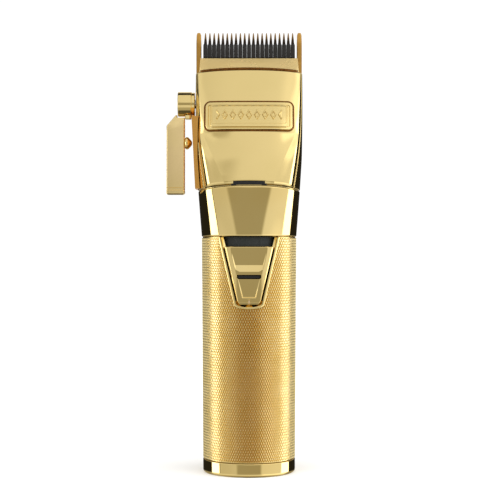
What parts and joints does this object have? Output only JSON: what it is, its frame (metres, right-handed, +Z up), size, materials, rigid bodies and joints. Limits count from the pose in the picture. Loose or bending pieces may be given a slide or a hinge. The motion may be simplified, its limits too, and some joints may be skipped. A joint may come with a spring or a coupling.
{
  "type": "hair clipper",
  "caption": "Cordless hair clipper with a knurled round grip, sliding power switch, fixed comb blade, moving cutter and a side taper lever, standing on its end cap.",
  "frame": {"origin": "centre of the end cap's flat bottom face", "axes": "+Z up along the grip towards the blades, -Y out of the front with the lid and the switch, -X towards the taper lever"},
  "size_m": [0.0586, 0.0413, 0.19],
  "materials": {
    "polished_gold": "mirror polished gold plating",
    "satin_gold": "satin gold plating",
    "knurled_gold": "diamond-knurled gold plating",
    "comb_gold": "gold titanium-coated steel, ground",
    "black_steel": "black coated steel",
    "bright_steel": "bright steel",
    "dark_plastic": "dark grey moulded plastic",
    "board_green": "green lacquered board",
    "cell_wrap": "blue shrink wrap",
    "light_lens": "milky light pipe",
    "copper_winding": "lacquered copper winding"
  },
  "bodies": {
    "housing": {"badge_plate": "polished_gold", "battery_carrier": "dark_plastic", "battery_cell": "cell_wrap", "charging_jack": "dark_plastic", "circuit_board": "board_green", "end_cap": "polished_gold", "front_lid": "polished_gold", "grip_sleeve": "knurled_gold", "indicator_light": "light_lens", "inner_frame": "dark_plastic", "lever_index_plate": "satin_gold", "micro_switch": "dark_plastic", "motor_bearing": "bright_steel", "motor_can": "bright_steel", "motor_mount": "dark_plastic", "motor_screw_left": "black_steel", "motor_screw_right": "black_steel", "neck_collar": "polished_gold", "nose_bezel": "polished_gold", "rear_housing": "polished_gold", "rear_screw_left": "black_steel", "rear_screw_right": "black_steel", "switch_bezel": "polished_gold", "switch_track": "dark_plastic"},
    "lever": {"lever_hub": "polished_gold", "lever_arm": "polished_gold", "detent_pin": "polished_gold", "lever_screw": "black_steel", "lever_cam_shaft": "bright_steel"},
    "blade_carriage": {"fixed_blade": "comb_gold", "blade_bracket": "bright_steel", "blade_screw_left": "black_steel", "blade_screw_right": "black_steel", "cutter_guide": "bright_steel", "tension_spring": "bright_steel"},
    "cutter": {"cutter_blade": "black_steel", "drive_seat": "dark_plastic"},
    "rotor": {"motor_shaft": "bright_steel", "motor_armature": "copper_winding", "eccentric_cam": "bright_steel"},
    "switch": {"switch_slider": "polished_gold", "slider_shoe": "dark_plastic"}
  },
  "joints": [
    {"name": "lever_swing", "type": "hinge", "parent": "housing", "child": "lever", "pos_m": [0, 0, 0.1582], "axis": [-1, 0, 0], "range_deg": [0, 30]},
    {"name": "blade_slide", "type": "slide", "parent": "housing", "child": "blade_carriage", "axis": [0, 0, -1], "range_m": [0, 0.0016]},
    {"name": "cutter_stroke", "type": "slide", "parent": "housing", "child": "cutter", "axis": [1, 0, 0], "range_m": [-0.0012, 0.0012]},
    {"name": "shaft_spin", "type": "hinge", "parent": "housing", "child": "rotor", "pos_m": [0, 0, 0.142], "axis": [0, 0, 1], "continuous": true},
    {"name": "power_switch", "type": "slide", "parent": "housing", "child": "switch", "axis": [0, 0, 1], "range_m": [0, 0.0035]}
  ],
  "couplings": [
    {"joint": "lever_swing", "follows": "blade_slide", "rad_per_m": 327.25}
  ]
}
